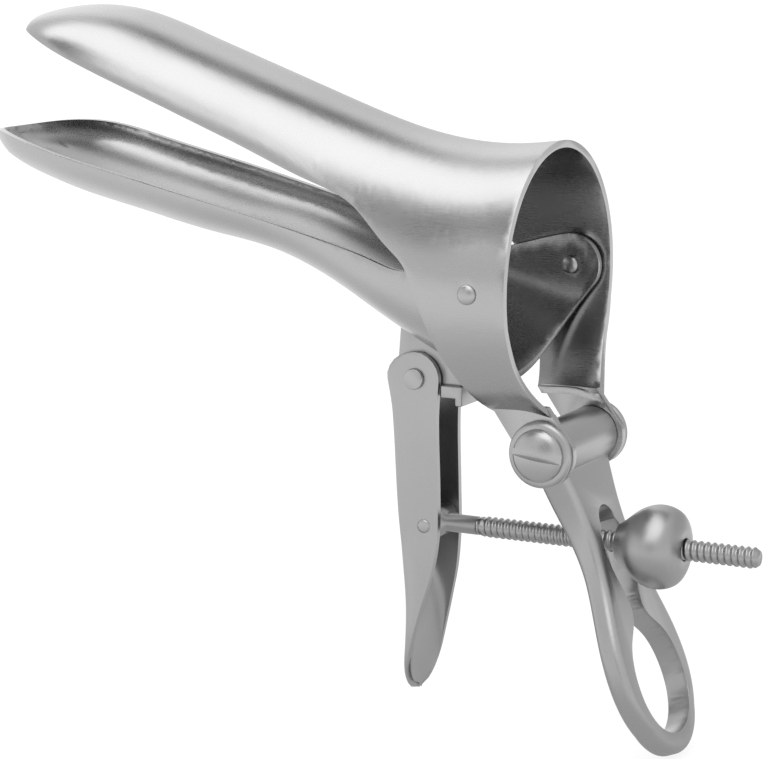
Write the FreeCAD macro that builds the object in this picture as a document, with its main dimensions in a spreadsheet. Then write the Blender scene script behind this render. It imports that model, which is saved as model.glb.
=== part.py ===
import FreeCAD, Part
import math
import os

# Bivalve speculum of the folding kind, in satin stainless steel. Millimetres.
# The blades point to -X, the user is at +X, the hinge axes lie along Y and Z is up.
# The origin is the middle of the hinge axis that the two side rivets share.

os.makedirs("parts", exist_ok=True)
doc = FreeCAD.newDocument("bivalve_speculum")
sizes = doc.addObject("Spreadsheet::Sheet", "sizes")

DIMENSIONS = {
    # Formed sheet of the two blades and the ring
    "sheet_wall": 1.4,
    "upper_half_width": 18.0,
    "lower_half_width": 19.0,
    "ring_half_width": 24.5,
    "ring_half_height": 26.0,
    "rim_x": 7.2,
    "tip_round": 21.0,
    "upper_tip_x": -107.3,
    "upper_rim_slope": 0.387,
    "upper_rim_rise": 4.3,
    "upper_flare_start": -45.0,
    "lower_tip_x": -113.6,
    "lower_rim_slope": 0.2325,
    "lower_rim_drop": 0.3,
    "lower_depth": 8.2,
    "lower_ring_depth": 20.4,
    "ear_gap": 0.9,
    "ear_radius": 6.0,
    "eye_half_width": 12.0,
    "eye_radius": 6.2,
    # Hinge rivets
    "rivet_radius": 1.4,
    "rivet_head_radius": 1.8,
    "rivet_head_height": 0.7,
    "pin_fit": 0.05,
    "face_gap": 0.3,
    # Handle and its screw
    "screw_x": 9.4,
    "screw_z": -30.2,
    "screw_radius": 2.4,
    "screw_head_radius": 4.9,
    "screw_head_height": 2.2,
    "screw_slot_width": 1.0,
    "screw_slot_depth": 1.1,
    "boss_radius": 6.2,
    "boss_height": 1.6,
    "barrel_radius": 5.2,
    "handle_lean": 21.6,
    "handle_wall": 4.6,
    "handle_half_width": 8.2,
    "loop_centre": 45.6,
    "loop_half_width": 13.8,
    "loop_bar": 3.8,
    "loop_half_height": 11.4,
    "slot_half_width": 3.2,
    "slot_top": 12.8,
    "neck_half_width": 2.7,
    "neck_place": 33.6,
    # Lever, its bracket and pin
    "lever_pin_x": -20.2,
    "lever_pin_z": -19.8,
    "lever_pin_radius": 1.6,
    "lever_pin_head": 2.0,
    "lever_head_radius": 5.2,
    "lever_half_width": 5.3,
    "lever_wall": 1.3,
    "lever_end_z": -80.0,
    "lever_front_top": -25.2,
    "lever_front_low": -22.0,
    "lever_back_x": -15.3,
    "spoon_half_width": 7.6,
    "spoon_dish": 13.0,
    # Threaded rod, its pin and the nut
    "rod_pin_x": -18.2,
    "rod_z": -48.0,
    "rod_radius": 2.0,
    "rod_neck_radius": 1.75,
    "rod_neck_end": -9.0,
    "rod_end_x": 47.2,
    "rod_eye_radius": 3.1,
    "rod_pin_radius": 1.3,
    "rod_pin_head": 0.5,
    "nut_front_x": 19.9,
    "nut_length": 13.0,
    "nut_radius": 7.8,
    "nut_bore_gap": 0.06,
}

for row, (name, value) in enumerate(DIMENSIONS.items(), start=1):
    sizes.set("A%d" % row, name)
    sizes.set("B%d" % row, str(value))
    sizes.setAlias("B%d" % row, name)
doc.recompute()


def get(name):
    """Read one driving dimension back from the sheet."""
    return float(sizes.get(name))


def smooth(start, end, x):
    """Ease from 0 at start to 1 at end."""
    share = min(1.0, max(0.0, (x - start) / (end - start)))
    return share * share * (3.0 - 2.0 * share)


def blend(low, high, share):
    return low + (high - low) * share


def spline(points):
    curve = Part.BSplineCurve()
    curve.interpolate([FreeCAD.Vector(*p) for p in points])
    return curve.toShape()


def line(a, b):
    return Part.makeLine(FreeCAD.Vector(*a), FreeCAD.Vector(*b))


def filled_section(x, half, skirt=0.0):
    """Closed section at x from its half outline, its open side drawn on by skirt."""
    outline = [(x, -y, z) for y, z in reversed(half[1:])] + [(x, y, z) for y, z in half]
    first, last = outline[0], outline[-1]
    if not skirt:
        return Part.Wire([spline(outline), line(last, first)])
    low_first = (x, first[1], first[2] + skirt)
    low_last = (x, last[1], last[2] + skirt)
    edges = [line(last, low_last), line(low_last, low_first), line(low_first, first)]
    return Part.Wire([spline(outline)] + edges)


def nose_share(x, tip_x, length):
    """Share of a blade's full width at x: 1 behind its rounded tip, 0 at the very end."""
    reach = min(1.0, max(0.0, (tip_x + length - x) / length))
    return math.sqrt(1.0 - reach * reach)


def nose_stations(tip_x, length):
    """Places along the rounded tip, closer together towards its end."""
    return [tip_x + length * (1.0 - math.cos(math.radians(a))) for a in (8, 19, 32, 47, 65, 90)]


def shell_loft(half_outline, tip_x, stations, skirt):
    """Formed sheet: a filled loft with the same form, one wall smaller, cut out of it."""
    length = get("tip_round")
    outer_places = nose_stations(tip_x, length) + stations
    inner_places = nose_stations(tip_x + wall, length - wall) + stations
    inner_places[-1] += 1.0
    outer = Part.makeLoft([filled_section(x, half_outline(x, 0)) for x in outer_places], True, False)
    inner = Part.makeLoft([filled_section(x, half_outline(x, wall), skirt) for x in inner_places], True, False)
    return outer.cut(inner)


def side_prism(edges, reach):
    """Solid with the given outline in the XZ plane, from -reach to +reach in Y."""
    face = Part.Face(Part.Wire(Part.__sortEdges__(edges)))
    face.translate(FreeCAD.Vector(0, -reach, 0))
    return face.extrude(FreeCAD.Vector(0, 2 * reach, 0))


def kept_inside(shape, prism):
    """Trim shape to the prism by cutting away all that lies outside it."""
    block = Part.makeBox(400, 200, 400, FreeCAD.Vector(-200, -100, -200))
    return shape.cut(block.cut(prism))


def y_cylinder(radius, x, z, y_low, y_high):
    base = FreeCAD.Vector(x, y_low, z)
    return Part.makeCylinder(radius, y_high - y_low, base, FreeCAD.Vector(0, 1, 0))


def feature(name, shape):
    piece = doc.addObject("Part::Feature", name)
    piece.Label = name
    piece.Shape = shape
    return piece


wall = get("sheet_wall")
ring_half = get("ring_half_width")
ring_high = get("ring_half_height")
rim_x = get("rim_x")
eye_half = get("eye_half_width")
eye_r = get("eye_radius")
screw_x = get("screw_x")
screw_z = get("screw_z")
far_side = ring_half + 10.0


# Upper blade: an inverted trough that opens into the ring. The rim of the ring runs
# down each side into a band, and each band ends in an eye on the handle screw.

def upper_rim(x):
    """Height of the trough's lower edge, a line that dips at the tip."""
    dip_start = get("upper_tip_x") + 11.3
    dip = 2.0 * (max(0.0, dip_start - x) / 11.3) ** 2
    return get("upper_rim_rise") - get("upper_rim_slope") * x - dip


def upper_crown(x):
    """Height of the trough's ridge: a straight climb, a waist and the ring's flare."""
    waist_x = get("upper_flare_start") + 27.6
    ease = 6.0
    climb = 0.355 * ease * math.log(1.0 + math.exp((waist_x - x) / ease))
    flare = 1.4 * min(1.0, max(0.0, x + 9.0) / 16.0) ** 2
    dip = 10.8 * (max(0.0, get("upper_tip_x") + 29.5 - x) / 29.5) ** 2
    return ring_high - 1.6 + climb + flare - dip


def upper_half(x, inset):
    """Half outline of the upper blade at x, set in by inset from its outer face."""
    share = smooth(get("upper_flare_start"), -3.0, x)
    nose = nose_share(x, get("upper_tip_x") + inset, get("tip_round") - inset)
    half = blend((get("upper_half_width") - inset) * nose, ring_half - inset, share)
    crown = upper_crown(x) - inset
    spring = blend(upper_rim(x) - 1.0, 0.0, share)
    low = blend(4.0, ring_high - inset, share)
    points = []
    for step in range(6):
        angle = math.radians(90 - 18 * step)
        points.append((half * math.cos(angle), spring + (crown - spring) * math.sin(angle)))
    for step in range(1, 5):
        angle = math.radians(16 * step)
        bulge = blend(1.0, math.cos(angle), share)
        points.append((half * bulge, spring - low * math.sin(angle)))
    return points


def eye_plate(side):
    """Flat end of one band, an eye round the handle screw."""
    neck_z = screw_z + 8.6
    left = (screw_x - eye_r * 0.96, 0, screw_z + eye_r * 0.28)
    right = (screw_x + eye_r * 0.96, 0, screw_z + eye_r * 0.28)
    low = (screw_x, 0, screw_z - eye_r)
    arc = Part.Arc(FreeCAD.Vector(*left), FreeCAD.Vector(*low), FreeCAD.Vector(*right)).toShape()
    neck_left = (-1.4, 0, neck_z)
    neck_right = (10.2, 0, neck_z)
    edges = [arc, line(right, neck_right), line(neck_right, neck_left), line(neck_left, left)]
    face = Part.Face(Part.Wire(Part.__sortEdges__(edges)))
    y_low = eye_half - wall if side > 0 else -eye_half
    face.translate(FreeCAD.Vector(0, y_low, 0))
    return face.extrude(FreeCAD.Vector(0, wall, 0))


def upper_blade_shape():
    tip_x = get("upper_tip_x")
    flare_start = get("upper_flare_start")
    straight_end = tip_x + get("tip_round")
    stations = [blend(straight_end, flare_start, share / 3) for share in (1, 2)]
    stations += [blend(flare_start, rim_x, share / 7) for share in range(8)] + [rim_x + 8.0]
    shell = shell_loft(upper_half, tip_x, stations, -12.0)
    edge = [(x, 0, upper_rim(x)) for x in (tip_x - 2.0, tip_x + 6.0, tip_x + 14.0)]
    edge += [(x, 0, upper_rim(x)) for x in (-70.0, -50.0, -36.0, -26.0)]
    edge += [(-17.6, 0, 7.6), (-13.4, 0, 4.2), (-11.2, 0, 0.0)]
    edge += [(-8.6, 0, -7.0), (-5.0, 0, -15.6), (-1.6, 0, -22.4), (0.4, 0, -25.0)]
    knee = (rim_x + 0.4, 0, -13.0)
    heel = (rim_x + 5.0, 0, -25.0)
    back = spline([heel, (rim_x + 2.4, 0, -20.4), knee])
    top = 80.0
    edges = [spline(edge), back, line(edge[-1], heel)]
    edges.append(line(knee, (rim_x, 0, -6.0)))
    edges.append(line((rim_x, 0, -6.0), (rim_x + 0.6, 0, top)))
    edges.append(line((rim_x + 0.6, 0, top), (tip_x - 2.0, 0, top)))
    edges.append(line((tip_x - 2.0, 0, top), edge[0]))
    blade = kept_inside(shell, side_prism(edges, far_side))
    blade = blade.fuse([eye_plate(-1), eye_plate(1)])
    hole = get("rivet_radius") + get("pin_fit")
    blade = blade.cut(y_cylinder(hole, 0, 0, -far_side, far_side))
    screw_hole = get("screw_radius") + get("pin_fit")
    return blade.cut(y_cylinder(screw_hole, screw_x, screw_z, -far_side, far_side))


upper_blade = feature("upper_blade", upper_blade_shape())


# Lower blade: an upright trough whose two rounded ears lie inside the bands of the ring,
# one on each side rivet.

def lower_rim(x):
    """Height of the trough's upper edge, a line that dips at the tip."""
    dip_start = get("lower_tip_x") + 11.0
    dip = 2.7 * (max(0.0, dip_start - x) / 11.0) ** 2
    return -get("lower_rim_drop") - get("lower_rim_slope") * x - dip


def lower_keel(x):
    """Height of the trough's underside."""
    tip_x = get("lower_tip_x")
    deep = blend(get("lower_depth"), get("lower_ring_depth"), smooth(-50.0, 4.0, x))
    fade = 7.0 * (max(0.0, tip_x + 20.0 - x) / 20.0) ** 2
    return lower_rim(x) - deep + fade


def lower_half(x, inset):
    share = smooth(-42.0, -1.0, x)
    ear_half = ring_half - wall - get("ear_gap")
    nose = nose_share(x, get("lower_tip_x") + inset, get("tip_round") - inset)
    half = blend((get("lower_half_width") - inset) * nose, ear_half - inset, share)
    keel = lower_keel(x) + inset
    spring = blend(lower_rim(x) + 0.6, -2.0, share)
    points = []
    for step in range(6):
        angle = math.radians(90 - 18 * step)
        points.append((half * math.cos(angle), spring - (spring - keel) * math.sin(angle)))
    for step in range(1, 4):
        points.append((half, spring + blend(1.5, 4.0, share) * step))
    return points


def lower_stations():
    straight_end = get("lower_tip_x") + get("tip_round")
    stations = [blend(straight_end, -46.0, share / 3) for share in (1, 2)]
    return stations + [-46.0, -36.0, -27.0, -18.0, -9.0, 0.0, 14.0]


def lower_blade_shape():
    tip_x = get("lower_tip_x")
    shell = shell_loft(lower_half, tip_x, lower_stations(), 12.0)
    ear = get("ear_radius")
    rim = [(x, 0, lower_rim(x)) for x in (tip_x - 2.0, tip_x + 7.0, tip_x + 20.0)]
    rim += [(x, 0, lower_rim(x)) for x in (-75.0, -50.0, -32.0)]
    rim += [(-22.0, 0, lower_rim(-22.0) - 0.2), (-14.5, 0, 2.9), (-9.0, 0, 3.9)]
    top = (-1.2, 0, math.sqrt(ear * ear - 1.2 * 1.2))
    rim.append(top)
    back = (ear, 0, 0)
    heel = (ear * 0.85, 0, -ear * 0.527)
    crown = Part.Arc(FreeCAD.Vector(*top), FreeCAD.Vector(ear * 0.707, 0, ear * 0.707),
                     FreeCAD.Vector(*back)).toShape()
    turn = Part.Arc(FreeCAD.Vector(*back), FreeCAD.Vector(ear * 0.96, 0, -ear * 0.28),
                    FreeCAD.Vector(*heel)).toShape()
    rear = spline([heel, (1.6, 0, -8.0), (-1.0, 0, -13.0), (-2.0, 0, -24.0)])
    low = -40.0
    edges = [spline(rim), crown, turn, rear]
    edges.append(line((-2.0, 0, -24.0), (-2.0, 0, low)))
    edges.append(line((-2.0, 0, low), (tip_x - 2.0, 0, low)))
    edges.append(line((tip_x - 2.0, 0, low), rim[0]))
    blade = kept_inside(shell, side_prism(edges, far_side))
    hole = get("rivet_radius") + get("pin_fit")
    return blade.cut(y_cylinder(hole, 0, 0, -far_side, far_side))


lower_blade = feature("lower_blade", lower_blade_shape())
doc.recompute()


# Side rivets: each is a shank through band and ear, with a low head outside and inside.

ear_half = ring_half - wall - get("ear_gap")


def turned(name, radius_cell, low, high):
    """Part cylinder along Y from low to high, its radius bound to a cell."""
    rod = doc.addObject("Part::Cylinder", name)
    rod.setExpression("Radius", "sizes." + radius_cell)
    rod.setExpression("Height", "(%s) - (%s)" % (high, low))
    rod.setExpression("Placement.Base.y", low)
    rod.Placement.Rotation = FreeCAD.Rotation(FreeCAD.Vector(1, 0, 0), -90)
    return rod


def fused(name, pieces, x_cell=None, z_cell=None):
    body = doc.addObject("Part::MultiFuse", name)
    body.Label = name
    body.Shapes = pieces
    body.Refine = True
    if x_cell:
        body.setExpression("Placement.Base.x", "sizes." + x_cell)
        body.setExpression("Placement.Base.z", "sizes." + z_cell)
    return body


rivet_parts = {}
ear_inner = "sizes.ring_half_width - 2 * sizes.sheet_wall - sizes.ear_gap"
for name, sign in (("near_hinge_rivet", -1), ("far_hinge_rivet", 1)):
    outer_low = "sizes.ring_half_width"
    outer_high = "sizes.ring_half_width + sizes.rivet_head_height"
    inner_low = ear_inner + " - sizes.rivet_head_height - sizes.face_gap"
    inner_high = ear_inner + " - sizes.face_gap"
    if sign > 0:
        shank = turned(name + "_shank", "rivet_radius", inner_low, outer_high)
        head = turned(name + "_head", "rivet_head_radius", outer_low, outer_high)
        tail = turned(name + "_tail", "rivet_head_radius", inner_low, inner_high)
    else:
        shank = turned(name + "_shank", "rivet_radius", "-(%s)" % outer_high, "-(%s)" % inner_low)
        head = turned(name + "_head", "rivet_head_radius", "-(%s)" % outer_high, "-(%s)" % outer_low)
        tail = turned(name + "_tail", "rivet_head_radius", "-(%s)" % inner_high, "-(%s)" % inner_low)
    rivet_parts[name] = fused(name, [shank, head, tail])


# Eye bosses: turned rings, brazed on the outside of each eye, that carry the screw.

def boss(name, side):
    low = "sizes.eye_half_width"
    high = "sizes.eye_half_width + sizes.boss_height"
    if side < 0:
        low, high = "-(%s)" % high, "-(%s)" % low
    ring = turned(name + "_ring", "boss_radius", low, high)
    hole = turned(name + "_hole", "screw_radius", low + " - 1", high + " + 1")
    hole.setExpression("Radius", "sizes.screw_radius + sizes.pin_fit")
    cut = doc.addObject("Part::Cut", name)
    cut.Label = name
    cut.Base = ring
    cut.Tool = hole
    cut.setExpression("Placement.Base.x", "sizes.screw_x")
    cut.setExpression("Placement.Base.z", "sizes.screw_z")
    return cut


near_eye_boss = boss("near_eye_boss", -1)
far_eye_boss = boss("far_eye_boss", 1)

# Handle screw: slotted head on the near side, plain shank, riveted over on the far side.
boss_face = "sizes.eye_half_width + sizes.boss_height"
shank = turned("screw_shank", "screw_radius", "-(%s)" % boss_face, boss_face)
head_top = boss_face + " + sizes.screw_head_height"
head = turned("screw_head", "screw_head_radius", "-(%s)" % head_top, "-(%s)" % boss_face)
tail = turned("screw_tail", "screw_radius", boss_face, boss_face + " + 0.6")
tail.setExpression("Radius", "sizes.screw_radius + 0.8")
screw_blank = fused("screw_blank", [shank, head, tail])
groove = doc.addObject("Part::Box", "screw_groove")
groove.setExpression("Length", "3 * sizes.screw_head_radius")
groove.setExpression("Height", "sizes.screw_slot_width")
groove.setExpression("Width", "sizes.screw_slot_depth + 1")
groove.setExpression("Placement.Base.x", "-1.5 * sizes.screw_head_radius")
groove.setExpression("Placement.Base.y", "-(%s) - 1" % head_top)
groove.setExpression("Placement.Base.z", "-sizes.screw_slot_width / 2")
handle_screw = doc.addObject("Part::Cut", "handle_screw")
handle_screw.Label = "handle_screw"
handle_screw.Base = screw_blank
handle_screw.Tool = groove
handle_screw.setExpression("Placement.Base.x", "sizes.screw_x")
handle_screw.setExpression("Placement.Base.z", "sizes.screw_z")


# Handle: a forged plate with a barrel at its top, a slot for the rod, and a finger loop.
# It is drawn flat, with u down its length from the screw, then leaned back.

handle_wall = get("handle_wall")
handle_half = get("handle_half_width")
loop_u = get("loop_centre")
loop_half = get("loop_half_width")
loop_bar = get("loop_bar")
loop_high = get("loop_half_height")
slot_half = get("slot_half_width")
slot_top = get("slot_top")
neck_half = get("neck_half_width")
neck_u = get("neck_place")
barrel_half = eye_half - wall - get("face_gap")
pin_fit = get("pin_fit")


def mirrored_face(half_points, top, bottom):
    """Face in the YZ plane between a half outline and its mirror image."""
    right = [(0, y, -u) for y, u in half_points]
    left = [(0, -y, -u) for y, u in half_points]
    edges = [spline(right), spline(left)]
    edges.append(Part.Arc(FreeCAD.Vector(*left[-1]), FreeCAD.Vector(0, 0, -bottom),
                          FreeCAD.Vector(*right[-1])).toShape())
    if top is None:
        edges.append(line(left[0], right[0]))
    else:
        edges.append(Part.Arc(FreeCAD.Vector(*left[0]), FreeCAD.Vector(0, 0, -top),
                              FreeCAD.Vector(*right[0])).toShape())
    return Part.Face(Part.Wire(Part.__sortEdges__(edges)))


def handle_shape():
    end_u = loop_u + loop_high + loop_bar
    outline = [(barrel_half, 0), (barrel_half, 4.0), (handle_half + 0.8, 10.0), (handle_half, 16.0)]
    outline += [(handle_half + 0.2, 21.0), (handle_half + 1.6, 28.0)]
    outline += [(loop_half - 0.9, loop_u - 8.0), (loop_half, loop_u), (loop_half - 3.4, end_u - 6.0)]
    plate = mirrored_face(outline, None, end_u)
    plate.translate(FreeCAD.Vector(-handle_wall / 2, 0, 0))
    plate = plate.extrude(FreeCAD.Vector(handle_wall, 0, 0))
    edges = [e for e in plate.Edges if abs(abs(e.CenterOfMass.x) - handle_wall / 2) < 0.01
             and abs(e.CenterOfMass.z) > 1.0]
    plate = plate.makeFillet(1.5, edges)
    inner = loop_half - loop_bar
    hole = [(slot_half, slot_top + slot_half), (slot_half + 0.1, neck_u - 5.0)]
    hole += [(neck_half, neck_u), (inner * 0.72, loop_u - loop_high * 0.62)]
    hole += [(inner, loop_u + 0.5), (inner * 0.72, loop_u + loop_high * 0.74)]
    opening = mirrored_face(hole, slot_top, loop_u + loop_high)
    opening.translate(FreeCAD.Vector(-handle_wall, 0, 0))
    plate = plate.cut(opening.extrude(FreeCAD.Vector(2 * handle_wall, 0, 0)))
    barrel = y_cylinder(get("barrel_radius"), 0, 0, -barrel_half, barrel_half)
    body = plate.fuse(barrel)
    body = body.cut(y_cylinder(get("screw_radius") + pin_fit, 0, 0, -20, 20))
    body.rotate(FreeCAD.Vector(0, 0, 0), FreeCAD.Vector(0, 1, 0), -get("handle_lean"))
    return body


handle = feature("handle", handle_shape())
handle.setExpression("Placement.Base.x", "sizes.screw_x")
handle.setExpression("Placement.Base.z", "sizes.screw_z")


# Lever: pressed channel, open towards the handle, that ends in a dished thumb rest.

pin_x = get("lever_pin_x")
pin_z = get("lever_pin_z")
lever_head = get("lever_head_radius")
lever_half = get("lever_half_width")
lever_wall = get("lever_wall")
lever_end = get("lever_end_z")
front_top = get("lever_front_top")
front_low = get("lever_front_low")
lever_back = get("lever_back_x")
rod_pin_x = get("rod_pin_x")
rod_z = get("rod_z")


def lever_side(inset):
    """Side outline of the lever, its front edge set back by inset."""
    front = front_top + inset
    low_z = pin_z - 46.0
    start = (front, 0, pin_z - 1.0)
    crest = (pin_x, 0, pin_z + lever_head)
    shoulder = (pin_x + lever_head * 0.87, 0, pin_z - lever_head * 0.49)
    head = Part.Arc(FreeCAD.Vector(*start), FreeCAD.Vector(*crest), FreeCAD.Vector(*shoulder)).toShape()
    back = [shoulder, (lever_back - 0.6, 0, pin_z - 8.0), (lever_back, 0, pin_z - 22.0)]
    back += [(lever_back - 0.1, 0, pin_z - 30.0), (lever_back - 2.6, 0, pin_z - 40.0)]
    back += [(front_low + 3.0, 0, pin_z - 49.0), (front_low + 1.5, 0, pin_z - 54.0)]
    toe = (front_low + 0.3, 0, pin_z - 54.0)
    knee = (front_low + inset, 0, low_z)
    edges = [head, spline(back), line(back[-1], toe), line(toe, knee), line(knee, start)]
    return edges


def spoon_shape():
    """Thumb rest: a strip of an upright tube, cut to a rounded tongue."""
    half = get("spoon_half_width")
    dish = get("spoon_dish")
    top = pin_z - 34.0
    axis_x = front_low + dish + 0.4
    height = top - lever_end + 4
    base = FreeCAD.Vector(axis_x, 0, lever_end - 4)
    tube = Part.makeCylinder(dish, height, base).cut(Part.makeCylinder(dish - lever_wall, height, base))
    right = [(0, lever_half, top), (0, lever_half, top - 5.0), (0, half, lever_end + 14.0)]
    right += [(0, half * 0.8, lever_end + 3.6)]
    left = [(0, -y, z) for x, y, z in right]
    tip = FreeCAD.Vector(0, 0, lever_end)
    edges = [spline(right), spline(left), line(left[0], right[0])]
    edges.append(Part.Arc(FreeCAD.Vector(*left[-1]), tip, FreeCAD.Vector(*right[-1])).toShape())
    face = Part.Face(Part.Wire(Part.__sortEdges__(edges)))
    face.translate(FreeCAD.Vector(front_low - 3.0, 0, 0))
    tongue_block = face.extrude(FreeCAD.Vector(9.0, 0, 0))
    return tube.common(tongue_block)


def lever_shape():
    outer = side_prism(lever_side(0), lever_half)
    hollow = side_prism(lever_side(lever_wall), lever_half - lever_wall)
    channel = outer.cut(hollow)
    top_gap = Part.makeBox(30, 2 * (lever_half - lever_wall), 12,
                           FreeCAD.Vector(front_top - 5, -(lever_half - lever_wall), pin_z - 6.6))
    channel = channel.cut(top_gap)
    body = channel.fuse(spoon_shape())
    body = body.cut(y_cylinder(get("lever_pin_radius") + pin_fit, pin_x, pin_z, -20, 20))
    return body.cut(y_cylinder(get("rod_pin_radius") + pin_fit, rod_pin_x, rod_z, -20, 20))


lever = feature("lever", lever_shape())


# Lever bracket: a solid lug brazed under the lower blade, with the step that stops the lever.

def lever_bracket_shape():
    lug_half = lever_half - lever_wall - get("face_gap")
    reach = lever_head - 0.7
    front = (pin_x - reach, 0, pin_z)
    low = (pin_x, 0, pin_z - reach)
    heel = (pin_x + reach * 0.7, 0, pin_z - reach * 0.714)
    arc = Part.Arc(FreeCAD.Vector(*front), FreeCAD.Vector(*low), FreeCAD.Vector(*heel)).toShape()
    points = [heel, (pin_x + 5.4, 0, pin_z - 3.2), (pin_x + 9.8, 0, pin_z - 3.2), (pin_x + 10.6, 0, 0)]
    points += [(pin_x - 3.0, 0, 0), front]
    edges = [arc] + [line(a, b) for a, b in zip(points[:-1], points[1:])]
    lug = side_prism(edges, lug_half)
    step_x = pin_x + lever_head + get("face_gap")
    step = Part.makeBox(4.4, 2 * lever_half, 2.4, FreeCAD.Vector(step_x, -lever_half, pin_z - 3.2))
    tooth = Part.makeBox(1.4, 2 * lever_half, 1.4, FreeCAD.Vector(step_x + 3.0, -lever_half, pin_z - 4.6))
    body = lug.fuse([step, tooth])
    places = nose_stations(get("lower_tip_x"), get("tip_round")) + lower_stations()
    blade_block = Part.makeLoft([filled_section(x, lower_half(x, 0)) for x in places], True, False)
    body = body.cut(blade_block)
    body = sorted(body.Solids, key=lambda solid: solid.Volume)[-1]
    return body.cut(y_cylinder(get("lever_pin_radius") + pin_fit, pin_x, pin_z, -20, 20))


lever_bracket = feature("lever_bracket", lever_bracket_shape())

# Lever pin: a riveted pin through both flanges and the bracket.
flange = "sizes.lever_half_width"
pin_end = flange + " + sizes.rivet_head_height"
pin_shank = turned("lever_pin_shank", "lever_pin_radius", "-(%s)" % pin_end, pin_end)
pin_near = turned("lever_pin_near", "lever_pin_head", "-(%s)" % pin_end, "-(%s)" % flange)
pin_far = turned("lever_pin_far", "lever_pin_head", flange, pin_end)
lever_pin = fused("lever_pin", [pin_shank, pin_near, pin_far], "lever_pin_x", "lever_pin_z")

# Rod pin: a smaller riveted pin across the channel.
rod_pin_end = flange + " + sizes.rod_pin_head"
rod_pin = turned("rod_pin", "rod_pin_radius", "-(%s)" % rod_pin_end, rod_pin_end)
rod_pin.setExpression("Placement.Base.x", "sizes.rod_pin_x")
rod_pin.setExpression("Placement.Base.z", "sizes.rod_z")


# Threaded rod: an eye on the rod pin, a plain neck and the threaded length.

def rod_shape():
    hub_half = lever_half - lever_wall - get("face_gap")
    hub = y_cylinder(get("rod_eye_radius"), rod_pin_x, rod_z, -hub_half, hub_half)
    axis = FreeCAD.Vector(1, 0, 0)
    neck_end = get("rod_neck_end")
    neck = Part.makeCylinder(get("rod_neck_radius"), neck_end - rod_pin_x,
                             FreeCAD.Vector(rod_pin_x, 0, rod_z), axis)
    radius = get("rod_radius")
    end = get("rod_end_x")
    thread = Part.makeCylinder(radius, end - neck_end - 0.6, FreeCAD.Vector(neck_end, 0, rod_z), axis)
    point = Part.makeCone(radius, radius - 0.6, 0.6, FreeCAD.Vector(end - 0.6, 0, rod_z), axis)
    body = hub.fuse([neck, thread, point])
    return body.cut(y_cylinder(get("rod_pin_radius") + pin_fit, rod_pin_x, rod_z, -20, 20))


threaded_rod = feature("threaded_rod", rod_shape())


# Adjusting nut: an olive-shaped nut, a long cone towards the handle and a rounded back.

def nut_shape():
    front = get("nut_front_x")
    length = get("nut_length")
    radius = get("nut_radius")
    bore = get("rod_radius") + get("nut_bore_gap")
    profile = ((0.0, 0.46), (0.17, 0.67), (0.31, 0.85), (0.45, 0.96), (0.56, 1.0))
    profile += ((0.72, 0.98), (0.88, 0.85), (0.96, 0.64), (1.0, 0.44))
    curve = [(front + length * along, 0, rod_z + radius * out) for along, out in profile]
    edges = [spline(curve)]
    edges.append(line(curve[-1], (front + length, 0, rod_z + bore)))
    edges.append(line((front + length, 0, rod_z + bore), (front, 0, rod_z + bore)))
    edges.append(line((front, 0, rod_z + bore), curve[0]))
    face = Part.Face(Part.Wire(Part.__sortEdges__(edges)))
    return face.revolve(FreeCAD.Vector(0, 0, rod_z), FreeCAD.Vector(1, 0, 0), 360)


adjusting_nut = feature("adjusting_nut", nut_shape())
doc.recompute()

pieces = [upper_blade, lower_blade, lever_bracket, lever, lever_pin, threaded_rod, rod_pin, adjusting_nut]
pieces += [handle, handle_screw, near_eye_boss, far_eye_boss]
pieces += [rivet_parts["near_hinge_rivet"], rivet_parts["far_hinge_rivet"]]

for item in doc.Objects:
    if "Invalid" in item.State or "Error" in item.State:
        raise RuntimeError("%s did not recompute: %s" % (item.Label, item.State))
for piece in pieces:
    shape = piece.Shape
    if shape.isNull() or not shape.isValid() or not shape.Solids:
        raise RuntimeError("%s has no valid solid" % piece.Label)
    print(piece.Label, len(shape.Solids), round(shape.Volume, 1))
for piece in pieces:
    piece.Shape.exportStep("parts/%s.step" % piece.Label)
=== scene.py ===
import math
import bmesh
import bpy
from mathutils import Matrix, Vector


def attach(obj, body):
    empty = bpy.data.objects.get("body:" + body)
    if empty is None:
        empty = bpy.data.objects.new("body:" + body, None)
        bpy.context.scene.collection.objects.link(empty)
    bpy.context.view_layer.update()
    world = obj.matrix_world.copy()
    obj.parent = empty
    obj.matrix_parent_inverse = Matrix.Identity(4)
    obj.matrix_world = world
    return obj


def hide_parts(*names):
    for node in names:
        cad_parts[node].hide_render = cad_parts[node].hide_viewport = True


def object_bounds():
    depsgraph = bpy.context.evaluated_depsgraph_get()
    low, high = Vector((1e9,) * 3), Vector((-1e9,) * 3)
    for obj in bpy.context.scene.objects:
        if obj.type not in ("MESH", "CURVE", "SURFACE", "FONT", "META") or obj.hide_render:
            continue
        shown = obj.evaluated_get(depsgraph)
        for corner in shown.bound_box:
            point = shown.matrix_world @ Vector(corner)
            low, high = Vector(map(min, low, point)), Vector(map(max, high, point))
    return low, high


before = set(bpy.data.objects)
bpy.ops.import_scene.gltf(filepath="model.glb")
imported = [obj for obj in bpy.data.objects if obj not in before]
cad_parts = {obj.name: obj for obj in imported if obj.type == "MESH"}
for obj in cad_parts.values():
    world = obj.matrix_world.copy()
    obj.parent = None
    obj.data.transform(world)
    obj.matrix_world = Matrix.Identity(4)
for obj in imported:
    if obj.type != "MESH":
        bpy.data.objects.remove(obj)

cad_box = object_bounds()

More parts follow.
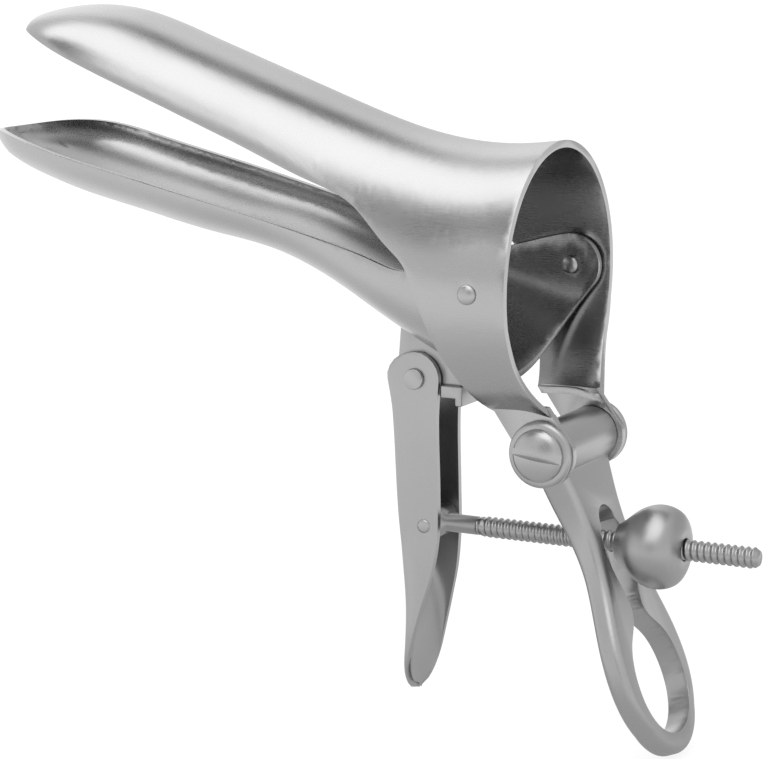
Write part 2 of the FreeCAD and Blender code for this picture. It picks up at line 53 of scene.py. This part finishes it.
# Camera: the photograph's view, from the user's side, a little above and to the left of the axis.
# The place, lens and aim were fitted to the rivets, the screw, the rod, the ring and the blade tips.
VIEW_AZIMUTH = math.radians(27.824)
VIEW_ELEVATION = math.radians(10.102)
VIEW_DISTANCE = 0.54005
AIM = Vector((-0.02993, -0.00006, -0.02157))
FOCAL_PIXELS = 2822.9
FRAME_WIDTH = 763
SENSOR = 36.0

look = Vector((-math.sin(VIEW_AZIMUTH) * math.cos(VIEW_ELEVATION),
               math.cos(VIEW_AZIMUTH) * math.cos(VIEW_ELEVATION),
               -math.sin(VIEW_ELEVATION)))
camera_data = bpy.data.cameras.new("studio_camera")
camera_data.sensor_width = SENSOR
camera_data.sensor_fit = "HORIZONTAL"
camera_data.lens = FOCAL_PIXELS * SENSOR / FRAME_WIDTH
camera_data.clip_start = 0.01
camera = bpy.data.objects.new("studio_camera", camera_data)
bpy.context.scene.collection.objects.link(camera)
camera.location = AIM - look * VIEW_DISTANCE
camera.rotation_euler = look.to_track_quat("-Z", "Y").to_euler()
bpy.context.scene.camera = camera

# Floor: a smooth white paper under the instrument, wide enough to be the backdrop as well.
# The camera sees it white. In the steel it carries a painted pool of shade, darker near the
# instrument, which shades the faces that look down.
FLOOR_HALF = 12.0
FLOOR_DROP = 0.0002
SHADE_INNER = 0.05
SHADE_OUTER = 0.26
SHADE_LEVEL = 0.42
PAPER_LEVEL = 0.86


def linear(hex_colour):
    """An sRGB hex colour as linear red, green, blue and alpha."""
    parts = [int(hex_colour[i:i + 2], 16) / 255 for i in (1, 3, 5)]
    return [p / 12.92 if p <= 0.04045 else ((p + 0.055) / 1.055) ** 2.4 for p in parts] + [1.0]


def add_node(tree, kind, settings=None, links=None):
    """Add one node, set its properties and inputs by name, and link its inputs."""
    node = tree.nodes.new(kind)
    for name, value in (settings or {}).items():
        if isinstance(name, str) and hasattr(node, name):
            setattr(node, name, value)
        else:
            node.inputs[name].default_value = value
    for name, source in (links or {}).items():
        tree.links.new(source, node.inputs[name])
    return node


floor_mesh = bpy.data.meshes.new("studio_floor")
floor_form = bmesh.new()
bmesh.ops.create_grid(floor_form, x_segments=1, y_segments=1, size=FLOOR_HALF)
bmesh.ops.translate(floor_form, verts=floor_form.verts, vec=(0, 0, cad_box[0][2] - FLOOR_DROP))
floor_form.to_mesh(floor_mesh)
floor_form.free()
floor = bpy.data.objects.new("studio_floor", floor_mesh)
bpy.context.scene.collection.objects.link(floor)

# White matt paper: it glows to the camera and in the steel, with a painted pool of shade round the
# instrument in the steel only, and is plain matt to all other light
paper = bpy.data.materials.new("white_paper_sweep")
paper.use_nodes = True
tree = paper.node_tree
tree.nodes.clear()
path = add_node(tree, "ShaderNodeLightPath")
seen = add_node(tree, "ShaderNodeMath", {"operation": "MAXIMUM"},
                {0: path.outputs["Is Camera Ray"], 1: path.outputs["Is Glossy Ray"]})
seen = add_node(tree, "ShaderNodeMath", {"operation": "MAXIMUM"},
                {0: seen.outputs[0], 1: path.outputs["Is Transmission Ray"]})
lit = add_node(tree, "ShaderNodeBsdfDiffuse", {"Color": linear("#7A7A7A")})
place = add_node(tree, "ShaderNodeTexCoord")
reach = add_node(tree, "ShaderNodeVectorMath", {"operation": "LENGTH"}, {0: place.outputs["Object"]})
# Painted shade: in the steel the paper's glow is dimmed near the instrument, a pool of shade painted
# round it
painted_shade_pool = add_node(tree, "ShaderNodeMapRange",
                {"interpolation_type": "SMOOTHSTEP", "From Min": SHADE_INNER, "From Max": SHADE_OUTER,
                 "To Min": SHADE_LEVEL, "To Max": PAPER_LEVEL}, {"Value": reach.outputs["Value"]})
level = add_node(tree, "ShaderNodeMix", {"data_type": "FLOAT", "B": PAPER_LEVEL},
                 {"Factor": path.outputs["Is Camera Ray"], "A": painted_shade_pool.outputs[0]})
glow = add_node(tree, "ShaderNodeEmission", {"Color": linear("#FFFFFF")},
                {"Strength": level.outputs[0]})
white = add_node(tree, "ShaderNodeAddShader", None, {0: lit.outputs[0], 1: glow.outputs[0]})
matte = add_node(tree, "ShaderNodeBsdfDiffuse", {"Color": linear("#E6E6E6")})
sheet = add_node(tree, "ShaderNodeMixShader", None,
                 {0: seen.outputs[0], 1: matte.outputs[0], 2: white.outputs[0]})
add_node(tree, "ShaderNodeOutputMaterial", None, {"Surface": sheet.outputs[0]})
floor_mesh.materials.append(paper)

# Light: a soft tent with two bright soft boxes high on the camera's side and one behind. Dark cards
# overhead, below the boxes and low on both sides draw the dark bands along the blades and the ring.
# Each patch is a direction (degrees round from +X towards the camera's side, degrees up),
# the angles at which it is full and gone, and its level.
TENT_LEVEL = 0.85
TENT_PATCHES = ((-104, 19, 27, 39, 1.35),
                (-68, 0, 29, 66, 0.62),
                (-107, 76, 10, 30, 0.1),
                (152, 66, 22, 38, 2.0),
                (105, 60, 27, 40, 2.0),
                (137, 38, 9, 24, 0.3),
                (92, 9, 8, 16, 0.45),
                (147, 15, 3, 18, 0.95))
world = bpy.data.worlds.new("soft_tent")
bpy.context.scene.world = world
world.use_nodes = True
tree = world.node_tree
way = add_node(tree, "ShaderNodeTexCoord")
level = add_node(tree, "ShaderNodeValue")
level.outputs[0].default_value = TENT_LEVEL
for azimuth, lift, full, gone, strength in TENT_PATCHES:
    azimuth, lift = math.radians(azimuth), math.radians(lift)
    towards = (math.cos(azimuth) * math.cos(lift), -math.sin(azimuth) * math.cos(lift), math.sin(lift))
    near = add_node(tree, "ShaderNodeVectorMath", {"operation": "DOT_PRODUCT", 1: towards},
                    {0: way.outputs["Generated"]})
    share = add_node(tree, "ShaderNodeMapRange",
                     {"interpolation_type": "SMOOTHSTEP", "From Min": math.cos(math.radians(gone)),
                      "From Max": math.cos(math.radians(full))}, {"Value": near.outputs["Value"]})
    level = add_node(tree, "ShaderNodeMix", {"data_type": "FLOAT", "B": strength},
                     {"Factor": share.outputs[0], "A": level.outputs[0]})
path = add_node(tree, "ShaderNodeLightPath")
level = add_node(tree, "ShaderNodeMix", {"data_type": "FLOAT", "B": 1.0},
                 {"Factor": path.outputs["Is Camera Ray"], "A": level.outputs[0]})
tree.links.new(level.outputs[0], tree.nodes["Background"].inputs["Strength"])
tree.nodes["Background"].inputs["Color"].default_value = linear("#FFFFFF")
bpy.context.scene.view_settings.view_transform = "Standard"

# Upper blade: one piece of stainless sheet, pressed into a half tube that opens into the ring.
# Its edges are ground round so that nothing is sharp, and the whole is ground to a satin face.
SHEET_EDGE = 0.00042
SHARP_CORNER = math.radians(30)
FLAT_CORNER = math.radians(0.5)
SAME_POINT = 0.000002
GRAIN_ALONG = 0.004
GRAIN_ACROSS = 0.00016
CLOUD_SIZE = 0.012
TONE_SPREAD = 0.06
ROUGHNESS_SPREAD = 0.04


def eased_copy(node, name, radius):
    """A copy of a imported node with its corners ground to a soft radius."""
    form = bmesh.new()
    form.from_mesh(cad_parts[node].data)
    bmesh.ops.remove_doubles(form, verts=form.verts, dist=SAME_POINT)
    bmesh.ops.dissolve_limit(form, angle_limit=FLAT_CORNER, verts=form.verts, edges=form.edges)
    mesh = bpy.data.meshes.new(name)
    form.to_mesh(mesh)
    form.free()
    mesh.shade_smooth()
    piece = bpy.data.objects.new(name, mesh)
    bpy.context.scene.collection.objects.link(piece)
    bevel = piece.modifiers.new("soft_edges", "BEVEL")
    bevel.width = radius
    bevel.segments = 3
    bevel.limit_method = "ANGLE"
    bevel.angle_limit = SHARP_CORNER
    bevel.harden_normals = True
    return piece


def steel(name, colour, roughness, grain, bump):
    """Stainless steel with a directional grain: grain is its size in metres along X, Y and Z."""
    material = bpy.data.materials.new(name)
    material.use_nodes = True
    tree = material.node_tree
    shader = tree.nodes["Principled BSDF"]
    shader.inputs["Metallic"].default_value = 1.0
    place = add_node(tree, "ShaderNodeTexCoord")
    scale = add_node(tree, "ShaderNodeMapping", {"Scale": [1 / size for size in grain]},
                     {"Vector": place.outputs["Object"]})
    strokes = add_node(tree, "ShaderNodeTexNoise", {"Scale": 1.0, "Detail": 3.0, "Roughness": 0.6},
                       {"Vector": scale.outputs[0]})
    cloud = add_node(tree, "ShaderNodeTexNoise", {"Scale": 1 / CLOUD_SIZE, "Detail": 2.0},
                     {"Vector": place.outputs["Object"]})
    tone = add_node(tree, "ShaderNodeMapRange", {"To Min": 1 - TONE_SPREAD, "To Max": 1 + TONE_SPREAD},
                    {"Value": strokes.outputs["Fac"]})
    base = add_node(tree, "ShaderNodeVectorMath", {"operation": "SCALE", 0: linear(colour)[:3]},
                    {"Scale": tone.outputs[0]})
    tree.links.new(base.outputs[0], shader.inputs["Base Color"])
    both = add_node(tree, "ShaderNodeMath", {"operation": "ADD"},
                    {0: strokes.outputs["Fac"], 1: cloud.outputs["Fac"]})
    rough = add_node(tree, "ShaderNodeMapRange",
                     {"From Min": 0.6, "From Max": 1.4, "To Min": roughness - ROUGHNESS_SPREAD,
                      "To Max": roughness + ROUGHNESS_SPREAD}, {"Value": both.outputs[0]})
    tree.links.new(rough.outputs[0], shader.inputs["Roughness"])
    relief = add_node(tree, "ShaderNodeBump", {"Strength": 1.0, "Distance": bump},
                      {"Height": strokes.outputs["Fac"]})
    tree.links.new(relief.outputs[0], shader.inputs["Normal"])
    return material


# Satin-ground stainless sheet: brushed along the blade, so highlights draw out. The strokes are
# coarser than real ones, so that they show
blade_steel = steel("satin_ground_stainless_sheet", "#B6B6B6", 0.27,
                    (GRAIN_ALONG, GRAIN_ACROSS, GRAIN_ACROSS), 0.000002)

upper_blade = eased_copy("upper_blade", "upper_blade_ground", SHEET_EDGE)
upper_blade.data.materials.append(blade_steel)
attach(upper_blade, "upper_frame")
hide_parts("upper_blade")

# Lower blade: pressed from the same sheet, with two ears that turn on the rivets inside the ring.
# Past the funnel its trough is a little wider and deeper than the solid, with a fuller tip.
RIM_LEVEL = -0.0003
RIM_RISE = 0.2325
RIM_DROP = 0.0027
DROP_LENGTH = 0.011
TIP_X = -0.1136
TIP_ROUND = 0.02
TIP_FULLNESS = 0.003
FULL_DEPTH = 0.003
TROUGH_START = -0.042
TROUGH_BLEND = 0.03
EXTRA_WIDTH = 0.09
EXTRA_DEPTH = 0.12
lower_blade = eased_copy("lower_blade", "lower_blade_ground", SHEET_EDGE)
for v in lower_blade.data.vertices:
    share = min(1, max(0, (TROUGH_START - v.co.x) / TROUGH_BLEND))
    share *= share * (3 - 2 * share)
    tip = min(1, max(0, (TIP_X + TIP_ROUND - v.co.x) / TIP_ROUND))
    drop = RIM_DROP * max(0, (TIP_X + DROP_LENGTH - v.co.x) / DROP_LENGTH) ** 2
    below = max(0, RIM_LEVEL - RIM_RISE * v.co.x - drop - v.co.z)
    v.co.y *= 1 + EXTRA_WIDTH * share
    v.co.z -= EXTRA_DEPTH * share * below
    v.co.z -= TIP_FULLNESS * tip * tip * min(1, below / FULL_DEPTH)
lower_blade.data.materials.append(blade_steel)
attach(lower_blade, "lower_valve")
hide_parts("lower_blade")

# Eye bosses: thick stainless rings brazed on the two eye plates, where the handle's screw passes.
# Their rims are well rounded.
BOSS_EDGE = 0.0009
FORGED_GRAIN = 0.0005
# Satin stainless forging: duller than the sheet, with a grain that has no direction
forged_steel = steel("satin_stainless_forging", "#B4B4B4", 0.34,
                     (FORGED_GRAIN, FORGED_GRAIN, FORGED_GRAIN), 0.000004)
for node in ("near_eye_boss", "far_eye_boss"):
    boss = eased_copy(node, node + "_rounded", BOSS_EDGE)
    boss.data.materials.append(forged_steel)
    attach(boss, "upper_frame")
    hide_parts(node)

# Handle screw: turned stainless with a low domed head and one sawn slot. Its plain shank runs
# through both bosses and the barrel, and its end is peened over on the far side.
SCREW_X = 0.0094
SCREW_Z = -0.0302
HEAD_RADIUS = 0.0049
HEAD_SEAT = 0.0136
HEAD_TOP = 0.0157
DOME_RADIUS = 0.0105
DOME_STEPS = 8
SHANK_RADIUS = 0.0024
TAIL_RADIUS = 0.0031
SLOT_HALF = 0.0006
SLOT_FLOOR = 0.0144
SLOT_TURN = math.radians(7)
UNDER_DOME = 0.0004
SLOT_BURR = 0.0001
TURNED_GRAIN = 0.0004
# Turned stainless pin: fine marks with no direction that shows at this size
pin_steel = steel("turned_stainless_pin", "#B6B6B6", 0.3,
                  (TURNED_GRAIN, TURNED_GRAIN, TURNED_GRAIN), 0.000002)


def turned(outline, centre, axis, steps=64):
    """A piece turned about an axis from its outline, given as along and out from the axis."""
    form = bmesh.new()
    along = Vector(axis)
    out = Vector((0, 0, 1))
    points = [form.verts.new(Vector(centre) + along * a + out * r) for a, r in outline]
    edges = [form.edges.new(pair) for pair in zip(points, points[1:])]
    bmesh.ops.spin(form, geom=points + edges, cent=centre, axis=axis, angle=math.tau, steps=steps,
                   use_merge=True)
    bmesh.ops.remove_doubles(form, verts=form.verts, dist=SAME_POINT / 2)
    bmesh.ops.recalc_face_normals(form, faces=form.faces)
    return form


def finish(form, name, material, body, slot, *nodes):
    """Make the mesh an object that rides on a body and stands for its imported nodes."""
    mesh = bpy.data.meshes.new(name)
    form.to_mesh(mesh)
    form.free()
    mesh.shade_smooth()
    mesh.materials.append(material)
    piece = bpy.data.objects.new(name, mesh)
    bpy.context.scene.collection.objects.link(piece)
    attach(piece, body)
    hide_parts(*nodes)
    return piece


dome_radii = [HEAD_RADIUS * k / DOME_STEPS for k in range(DOME_STEPS)]
dome = [(r * r / (2 * DOME_RADIUS) - HEAD_TOP, r) for r in dome_radii]
rim = [(-HEAD_SEAT - 0.00078, HEAD_RADIUS - 0.0001), (-HEAD_SEAT - 0.0005, HEAD_RADIUS),
       (-HEAD_SEAT, HEAD_RADIUS)]
tail = [(-HEAD_SEAT, SHANK_RADIUS), (HEAD_SEAT, SHANK_RADIUS), (HEAD_SEAT, TAIL_RADIUS),
        (HEAD_SEAT + 0.0003, TAIL_RADIUS), (HEAD_SEAT + 0.00055, 0.0025), (HEAD_SEAT + 0.0006, 0)]
screw_centre = Vector((SCREW_X, 0, SCREW_Z))
form = turned(dome + rim + tail, screw_centre, (0, 1, 0))
across = Vector((math.sin(SLOT_TURN), 0, math.cos(SLOT_TURN)))
for side in (-1, 1):
    front = [f for f in form.faces if f.calc_center_median().y < -HEAD_SEAT - UNDER_DOME]
    around = front + [e for f in front for e in f.edges] + [v for f in front for v in f.verts]
    bmesh.ops.bisect_plane(form, geom=list(dict.fromkeys(around)), plane_no=across,
                           plane_co=screw_centre + across * SLOT_HALF * side)
strip = [f for f in form.faces if f.calc_center_median().y < -HEAD_SEAT - UNDER_DOME
         and abs((f.calc_center_median() - screw_centre).dot(across)) < SLOT_HALF]
sawn = bmesh.ops.extrude_face_region(form, geom=strip)
for v in sawn["geom"]:
    if isinstance(v, bmesh.types.BMVert):
        v.co.y = -SLOT_FLOOR
bmesh.ops.delete(form, geom=strip, context="FACES")
screw = finish(form, "handle_screw_turned", pin_steel, "upper_frame", "pin_steel", "handle_screw")
edges = screw.modifiers.new("soft_edges", "BEVEL")
edges.width = SLOT_BURR
edges.segments = 2
edges.angle_limit = math.radians(40)
edges.harden_normals = True

# Hinge rivets: stainless wire, one through each side of the ring and the blade's ear. The outer
# head is low and domed, and the inner end is peened over into a smaller dome.
RIVET_HEAD = 0.0018
RIVET_SHANK = 0.0014
RING_OUTSIDE = 0.0245
RIVET_TOP = 0.0252
RIVET_TAIL = 0.0198
EAR_INSIDE = 0.0204
for side, node in ((-1, "near_hinge_rivet"), (1, "far_hinge_rivet")):
    outline = [(RIVET_TOP, 0), (RIVET_TOP - 0.00006, RIVET_HEAD * 0.4),
               (RIVET_TOP - 0.00022, RIVET_HEAD * 0.75), (RIVET_TOP - 0.00042, RIVET_HEAD * 0.95),
               (RIVET_TOP - 0.0006, RIVET_HEAD), (RING_OUTSIDE, RIVET_HEAD),
               (RING_OUTSIDE, RIVET_SHANK), (EAR_INSIDE, RIVET_SHANK), (EAR_INSIDE, RIVET_HEAD * 0.93),
               (EAR_INSIDE - 0.00018, RIVET_HEAD * 0.9), (RIVET_TAIL + 0.0002, RIVET_HEAD * 0.68),
               (RIVET_TAIL + 0.00004, RIVET_HEAD * 0.35), (RIVET_TAIL, 0)]
    form = turned([(side * a, r) for a, r in outline], (0, 0, 0), (0, 1, 0), 48)
    finish(form, node + "_domed", pin_steel, "upper_frame", "pin_steel", node)

# Handle: a forged stainless bar with a barrel at the top, a slot for the rod and a finger loop.
# All its corners are ground well round for the hand, and it is a little thicker below the barrel.
HANDLE_EDGE = 0.0011
HANDLE_LEAN = math.radians(21.6)
FRONT_FACE = 0.0005
FRONT_SWELL = 0.0015
SWELL_RISE = 0.005
SWELL_END = 0.026
SWELL_FALL = 0.018
handle = eased_copy("handle", "handle_forged", HANDLE_EDGE)
down = Vector((math.sin(HANDLE_LEAN), 0, -math.cos(HANDLE_LEAN)))
rear = Vector((math.cos(HANDLE_LEAN), 0, math.sin(HANDLE_LEAN)))
for v in handle.data.vertices:
    place = v.co - screw_centre
    length, depth = place.dot(down), place.dot(rear)
    if depth < -FRONT_FACE:
        rise = min(1, max(0, length / SWELL_RISE))
        fall = min(1, max(0, (SWELL_END - length) / SWELL_FALL))
        v.co -= rear * FRONT_SWELL * rise * rise * (3 - 2 * rise) * fall * fall * (3 - 2 * fall)
handle.data.materials.append(forged_steel)
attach(handle, "upper_frame")
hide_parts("handle")

# Lever bracket: a small stainless block brazed under the lower blade, which carries the lever.
# Its edges are lightly broken.
BRACKET_EDGE = 0.0004
bracket = eased_copy("lever_bracket", "lever_bracket_ground", BRACKET_EDGE)
bracket.data.materials.append(forged_steel)
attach(bracket, "lower_valve")
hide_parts("lever_bracket")

# Thumb lever: a stainless channel, open towards the user, whose sides run out into a dished thumb
# rest. It turns on the lever pin, and the rod folds into it.
PIN_X = -0.0202
PIN_Z = -0.0198
LUG_RADIUS = 0.0051
LUG_REACH = 1.2
LEVER_HALF = 0.0053
LEVER_WALL = 0.0012
LEVER_EDGE = 0.00045
LEVER_END = -0.0813
WEB_TOP = PIN_Z - 0.0066
WEB_INSET = 0.0006
DISH_HALF = 0.0075
DISH_TOP = -0.0735
# Each pair is a height and, there, the place of the web or of the open edge, half the width, and how
# round the channel's corners are (0 is square, 1 is a half ellipse)
WEB_LINE = ((PIN_Z, PIN_X - LUG_RADIUS * LUG_REACH), (-0.0264, -0.0252), (-0.0435, -0.0243),
            (-0.0636, -0.023), (LEVER_END, -0.0224))
EDGE_LINE = ((PIN_Z, PIN_X + LUG_RADIUS), (-0.0278, -0.0156), (-0.042, -0.0153), (-0.05, -0.0153),
             (-0.057, -0.0162), (-0.064, -0.018), (-0.07, -0.0195), (-0.076, -0.0208),
             (LEVER_END, -0.0216))
HALF_WIDTHS = ((PIN_Z, LEVER_HALF), (-0.05, LEVER_HALF), (-0.067, DISH_HALF), (LEVER_END, DISH_HALF))
ROUNDNESS = ((PIN_Z, 0.1), (-0.045, 0.16), (-0.055, 0.4), (-0.066, 0.85), (LEVER_END, 1.0))


def between(z, stations):
    """Value at height z on a smooth curve through stations of (height, value) from the top down."""
    z = min(stations[0][0], max(stations[-1][0], z))
    index = max(i for i in range(len(stations) - 1) if z <= stations[i][0])
    (z0, v0), (z1, v1) = stations[index:index + 2]
    before, after = stations[max(0, index - 1)], stations[min(len(stations) - 1, index + 2)]
    rise_0 = (v1 - before[1]) / (z1 - before[0]) * (z1 - z0)
    rise_1 = (after[1] - v0) / (after[0] - z0) * (z1 - z0)
    t = (z - z0) / (z1 - z0)
    return (v0 * (1 + 2 * t) * (1 - t) ** 2 + rise_0 * t * (1 - t) ** 2
            + v1 * t * t * (3 - 2 * t) + rise_1 * t * t * (t - 1))


form = bmesh.new()
bmesh.ops.create_grid(form, x_segments=40, y_segments=72, size=0.5)
for v in form.verts:
    turn = math.pi * (v.co.x + 0.5)
    z = PIN_Z + LUG_RADIUS + (v.co.y - 0.5) * (PIN_Z + LUG_RADIUS - LEVER_END)
    if z > PIN_Z:
        z = PIN_Z + LUG_RADIUS * math.sin(math.pi / 2 * min(1, (z - PIN_Z) / LUG_RADIUS))
        swing = math.sqrt(max(0, LUG_RADIUS ** 2 - (z - PIN_Z) ** 2))
        front, back = PIN_X - swing * LUG_REACH, PIN_X + swing
    else:
        front, back = between(z, WEB_LINE), between(z, EDGE_LINE)
    half = between(z, HALF_WIDTHS)
    half *= math.sqrt(max(0, 1 - (max(0, DISH_TOP - z) / (DISH_TOP - LEVER_END)) ** 2))
    round_off = between(z, ROUNDNESS)
    side = math.copysign(abs(math.cos(turn)) ** round_off, math.cos(turn))
    deep = math.sin(turn) ** round_off if math.sin(turn) > 1e-6 else 0
    v.co = (back - (back - front) * deep, -half * side, z)
web = [f for f in form.faces if f.calc_center_median().z > WEB_TOP
       and abs(f.calc_center_median().y) < LEVER_HALF - WEB_INSET]
bmesh.ops.delete(form, geom=web, context="FACES")
bmesh.ops.remove_doubles(form, verts=form.verts, dist=SAME_POINT)
flange = max(form.faces, key=lambda f: abs(f.calc_center_median().y) + f.calc_center_median().z / 10)
if flange.normal.y * flange.calc_center_median().y < 0:
    bmesh.ops.reverse_faces(form, faces=form.faces)
lever = finish(form, "lever_pressed", forged_steel, "lower_valve", "forged_steel", "lever")
wall = lever.modifiers.new("sheet_wall", "SOLIDIFY")
wall.thickness = LEVER_WALL
wall.offset = -1
edges = lever.modifiers.new("soft_edges", "BEVEL")
edges.width = LEVER_EDGE
edges.segments = 3
edges.angle_limit = math.radians(50)
edges.harden_normals = True

# Lever pin: turned stainless, with a low head that has a chamfered rim. It is riveted through the
# lever's two sides and the bracket.
PIN_EDGE = 0.00035
lever_pin = eased_copy("lever_pin", "lever_pin_headed", PIN_EDGE)
lever_pin.data.materials.append(pin_steel)
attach(lever_pin, "lower_valve")
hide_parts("lever_pin")

# Threaded rod: 4 mm stainless with a rolled, round-crested thread. A plain neck runs into the eye
# at the lever's end, and the free end is chamfered.
ROD_Z = -0.048
ROD_END = 0.0472
NECK_END = -0.009
NECK_RADIUS = 0.00175
NECK_SLOPE = 0.15
NECK_STEP = 0.00004
EYE_LAP = 0.0002
THREAD_CREST = 0.002
THREAD_ROOT = 0.00166
THREAD_PITCH = 0.0013
TURN_STEPS = 24
CHAMFER_SLOPE = 0.7
CHAMFER_STEP = 0.0003
# One pitch of the thread, as shares of the pitch along and of the depth out
THREAD_FORM = ((0, 0), (0.12, 0.06), (0.26, 0.5), (0.38, 0.92), (0.5, 1), (0.62, 0.92), (0.74, 0.5),
               (0.88, 0.06), (1, 0))
# Rolled stainless thread: a little darker than the ground pieces
rod_steel = steel("rolled_stainless_thread", "#ACACAC", 0.32, (0.0003, 0.0006, 0.0006), 0.000002)
form = bmesh.new()
turns = math.ceil((ROD_END - NECK_END) / THREAD_PITCH) + 2
start = NECK_END - THREAD_PITCH
points = [form.verts.new((start + THREAD_PITCH * a, 0,
                          ROD_Z + THREAD_ROOT + (THREAD_CREST - THREAD_ROOT) * r))
          for a, r in THREAD_FORM]
edges = [form.edges.new(pair) for pair in zip(points, points[1:])]
bmesh.ops.spin(form, geom=points + edges, cent=(0, 0, ROD_Z), axis=(1, 0, 0),
               dvec=(THREAD_PITCH / TURN_STEPS, 0, 0), angle=math.tau * turns,
               steps=TURN_STEPS * turns)
bmesh.ops.remove_doubles(form, verts=form.verts, dist=SAME_POINT)
for end, side in ((NECK_END, -1), (ROD_END, 1)):
    cut = bmesh.ops.bisect_plane(form, geom=form.verts[:] + form.edges[:] + form.faces[:],
                                 plane_co=(end, 0, 0), plane_no=(side, 0, 0), clear_outer=True)
    bmesh.ops.holes_fill(form, edges=[e for e in cut["geom_cut"] if isinstance(e, bmesh.types.BMEdge)])
for v in form.verts:
    out = Vector((0, v.co.y, v.co.z - ROD_Z))
    room = min(NECK_RADIUS - NECK_STEP + (v.co.x - NECK_END) * NECK_SLOPE,
               THREAD_ROOT - CHAMFER_STEP + (ROD_END - v.co.x) * CHAMFER_SLOPE)
    if out.length > room:
        out *= room / out.length
        v.co = Vector((v.co.x, out.y, ROD_Z + out.z))
bmesh.ops.recalc_face_normals(form, faces=form.faces)

eye = bmesh.new()
eye.from_mesh(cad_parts["threaded_rod"].data)
bmesh.ops.remove_doubles(eye, verts=eye.verts, dist=SAME_POINT)
bmesh.ops.bisect_plane(eye, geom=eye.verts[:] + eye.edges[:] + eye.faces[:],
                       plane_co=(NECK_END - EYE_LAP, 0, 0), plane_no=(1, 0, 0), clear_outer=True)
bmesh.ops.holes_fill(eye, edges=[e for e in eye.edges if e.is_boundary])
eye_mesh = bpy.data.meshes.new("rod_eye")
eye.to_mesh(eye_mesh)
eye.free()
form.from_mesh(eye_mesh)
finish(form, "threaded_rod_rolled", rod_steel, "rod", "rod_steel", "threaded_rod")

# Rod pin: a small stainless cross pin, peened and ground almost flush with the lever's sides.
# The rod's eye turns on it.
ROD_PIN_X = -0.0182
ROD_PIN_RADIUS = 0.0013
PIN_FLUSH = 0.00542
ends = ((PIN_FLUSH, 0), (PIN_FLUSH - 0.00003, 0.0009), (PIN_FLUSH - 0.00012, ROD_PIN_RADIUS))
outline = [(-a, r) for a, r in ends] + [(a, r) for a, r in reversed(ends)]
form = turned(outline, (ROD_PIN_X, 0, ROD_Z), (0, 1, 0), 32)
finish(form, "rod_pin_peened", pin_steel, "lower_valve", "pin_steel", "rod_pin")

# Adjusting nut: turned from stainless bar to an olive shape, smooth for the fingers. It runs on the
# rod's thread behind the handle.
NUT_EDGE = 0.0003
# Turned stainless bar: fine rings round its axis, which spread the highlight a little
nut_steel = steel("turned_stainless_bar", "#AEAEAE", 0.36, (0.00025, 0.0012, 0.0012), 0.000002)
nut = eased_copy("adjusting_nut", "adjusting_nut_turned", NUT_EDGE)
nut.data.materials.append(nut_steel)
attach(nut, "nut")
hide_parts("adjusting_nut")
